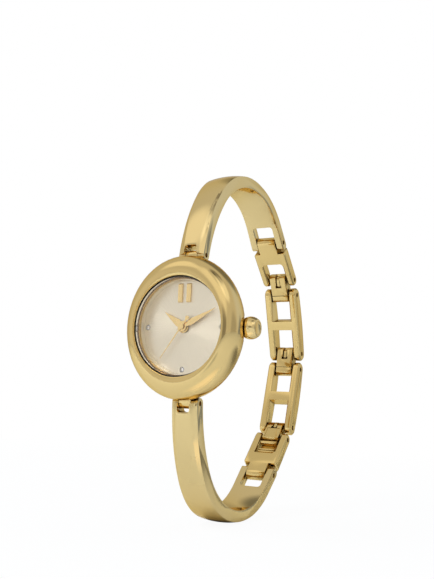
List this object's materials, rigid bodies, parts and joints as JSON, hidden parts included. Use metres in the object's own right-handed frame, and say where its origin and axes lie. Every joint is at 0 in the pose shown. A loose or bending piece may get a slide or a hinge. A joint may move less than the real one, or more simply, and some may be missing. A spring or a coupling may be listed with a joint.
{
  "type": "wristwatch",
  "caption": "Ladies' wristwatch with an oval domed case on a rigid hinged bangle, closed at the back by a chain of ladder links and a folding clasp.",
  "frame": {"origin": "centre of the flat face of the case back", "axes": "+Z towards 12 o'clock, +X towards 3 o'clock and the crown, the dial faces -Y and the bangle closes at +Y"},
  "size_m": [0.0231, 0.0493, 0.0641],
  "materials": {
    "case_gold": "polished gold plating on steel",
    "steel": "fine ground",
    "dial_champagne": "sunray brushed lacquer",
    "gilt": "polished gilt",
    "brass": "stamped, matt",
    "mineral_glass": "clear",
    "clear_stone": "cut and polished",
    "seal": "matt",
    "pale_plastic": "moulded",
    "board": "lacquered board",
    "winding": "enamelled copper wire",
    "magnet": "plain"
  },
  "bodies": {
    "case": {"case_body": "case_gold", "case_back": "case_gold", "case_back_gasket": "seal", "crystal": "mineral_glass", "crystal_gasket": "seal", "dial_ring": "dial_champagne", "dial": "dial_champagne", "dial_stones": "clear_stone", "dial_marker": "gilt", "movement_ring": "pale_plastic", "main_plate": "brass", "train_bridge": "steel", "circuit_board": "board", "coil": "winding", "stator": "steel", "button_cell": "steel", "cell_strap": "brass", "quartz_can": "steel", "setting_lever_spring": "steel", "movement_screws": "steel", "crown_tube": "steel"},
    "seconds": {"fourth_wheel": "gilt", "seconds_hand": "gilt"},
    "minutes": {"centre_wheel": "gilt", "minute_hand": "gilt"},
    "hours": {"hour_wheel": "brass", "hour_hand": "gilt"},
    "rotor": {"rotor": "magnet"},
    "fifth": {"fifth_wheel": "gilt"},
    "third": {"third_wheel": "gilt"},
    "motion": {"minute_wheel": "brass"},
    "lever": {"setting_lever": "steel"},
    "clutch": {"clutch_wheel": "steel"},
    "crown": {"crown": "case_gold", "winding_stem": "steel", "crown_gasket": "seal"},
    "upper_arm": {"upper_arm": "case_gold", "upper_arm_pins": "case_gold"},
    "upper_end": {"upper_end_link": "case_gold", "upper_end_link_pin": "case_gold"},
    "upper_hook": {"upper_connector": "case_gold", "upper_connector_tongue": "case_gold"},
    "upper_ladder": {"upper_ladder_link": "case_gold", "upper_ladder_pins": "case_gold"},
    "middle_hook": {"middle_connector": "case_gold", "middle_connector_tongue": "case_gold"},
    "lower_ladder": {"lower_ladder_link": "case_gold", "lower_ladder_pins": "case_gold"},
    "lower_arm": {"lower_arm": "case_gold", "lower_arm_pins": "case_gold"},
    "lower_end": {"lower_end_link": "case_gold", "lower_end_link_pin": "case_gold"},
    "clasp": {"clasp": "case_gold", "clasp_tongue": "case_gold"}
  },
  "joints": [
    {"name": "seconds_turn", "type": "hinge", "parent": "case", "child": "seconds", "pos_m": [0, 0, 0], "axis": [0, 1, 0], "continuous": true},
    {"name": "minutes_turn", "type": "hinge", "parent": "case", "child": "minutes", "pos_m": [0, 0, 0], "axis": [0, 1, 0], "continuous": true},
    {"name": "hours_turn", "type": "hinge", "parent": "case", "child": "hours", "pos_m": [0, 0, 0], "axis": [0, 1, 0], "continuous": true},
    {"name": "rotor_turn", "type": "hinge", "parent": "case", "child": "rotor", "pos_m": [0.00162, 0, 0.0039], "axis": [0, 1, 0], "continuous": true},
    {"name": "fifth_turn", "type": "hinge", "parent": "case", "child": "fifth", "pos_m": [0.00108, 0, 0.00187], "axis": [0, 1, 0], "continuous": true},
    {"name": "third_turn", "type": "hinge", "parent": "case", "child": "third", "pos_m": [-0.00296, 0, 0.00079], "axis": [0, 1, 0], "continuous": true},
    {"name": "motion_turn", "type": "hinge", "parent": "case", "child": "motion", "pos_m": [0.0012, 0, -0.00208], "axis": [0, 1, 0], "continuous": true},
    {"name": "crown_turn", "type": "hinge", "parent": "case", "child": "clutch", "pos_m": [0, -0.0031, 0], "axis": [1, 0, 0], "continuous": true},
    {"name": "crown_pull", "type": "slide", "parent": "clutch", "child": "crown", "axis": [1, 0, 0], "range_m": [0, 0.001]},
    {"name": "lever_swing", "type": "hinge", "parent": "case", "child": "lever", "pos_m": [0.006, 0, 0.0043], "axis": [0, -1, 0], "range_deg": [0, 13.44]},
    {"name": "upper_arm_swing", "type": "hinge", "parent": "case", "child": "upper_arm", "pos_m": [0, -0.0032, 0.0124], "axis": [1, 0, 0], "range_deg": [0, 15]},
    {"name": "upper_end_swing", "type": "hinge", "parent": "upper_arm", "child": "upper_end", "pos_m": [0, 0.0276, 0.02095], "axis": [1, 0, 0], "range_deg": [-40, 20]},
    {"name": "upper_hook_swing", "type": "hinge", "parent": "upper_end", "child": "upper_hook", "pos_m": [0, 0.03428, 0.0142], "axis": [1, 0, 0], "range_deg": [-30, 30]},
    {"name": "upper_ladder_swing", "type": "hinge", "parent": "upper_hook", "child": "upper_ladder", "pos_m": [0, 0.03584, 0.01111], "axis": [1, 0, 0], "range_deg": [-30, 30]},
    {"name": "middle_hook_swing", "type": "hinge", "parent": "upper_ladder", "child": "middle_hook", "pos_m": [0, 0.03945, -0.00127], "axis": [1, 0, 0], "range_deg": [-30, 30]},
    {"name": "lower_ladder_swing", "type": "hinge", "parent": "middle_hook", "child": "lower_ladder", "pos_m": [0, 0.03895, -0.0047], "axis": [1, 0, 0], "range_deg": [-30, 30]},
    {"name": "lower_arm_swing", "type": "hinge", "parent": "case", "child": "lower_arm", "pos_m": [0, -0.0032, -0.0124], "axis": [1, 0, 0], "range_deg": [-15, 0]},
    {"name": "lower_end_swing", "type": "hinge", "parent": "lower_arm", "child": "lower_end", "pos_m": [0, 0.02574, -0.02596], "axis": [1, 0, 0], "range_deg": [-20, 40]},
    {"name": "clasp_open", "type": "hinge", "parent": "lower_end", "child": "clasp", "pos_m": [0, 0.03261, -0.01941], "axis": [1, 0, 0], "range_deg": [0, 60]}
  ],
  "couplings": [
    {"joint": "rotor_turn", "follows": "seconds_turn", "ratio": 30},
    {"joint": "fifth_turn", "follows": "seconds_turn", "ratio": -5},
    {"joint": "third_turn", "follows": "seconds_turn", "ratio": -0.13333},
    {"joint": "minutes_turn", "follows": "seconds_turn", "ratio": 0.016667},
    {"joint": "motion_turn", "follows": "seconds_turn", "ratio": -0.0055556},
    {"joint": "hours_turn", "follows": "seconds_turn", "ratio": 0.0013889},
    {"joint": "lever_swing", "follows": "crown_pull", "rad_per_m": 234.61}
  ]
}
